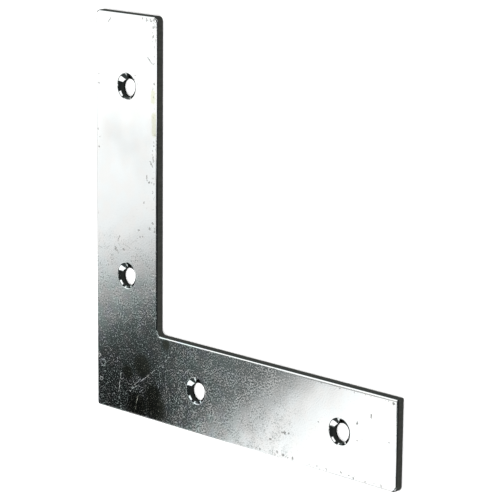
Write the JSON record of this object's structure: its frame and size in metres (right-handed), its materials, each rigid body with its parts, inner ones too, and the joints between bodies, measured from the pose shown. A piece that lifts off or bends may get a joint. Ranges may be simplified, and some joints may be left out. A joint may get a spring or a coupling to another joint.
{
  "type": "flat corner brace",
  "caption": "Flat L-shaped corner brace stamped from zinc-plated steel, with countersunk screw holes along both arms.",
  "frame": {"origin": "on the back face, where the centrelines of the two arms cross", "axes": "+X along one arm, +Y along the other, +Z out of the front face, towards the screw heads"},
  "size_m": [0.1016, 0.1016, 0.002],
  "materials": {
    "zinc_plate": "bright blue-white zinc plating over rolled steel sheet, with faint water marks and rub marks"
  },
  "bodies": {
    "root": {"brace_plate": "zinc_plate"}
  },
  "joints": []
}
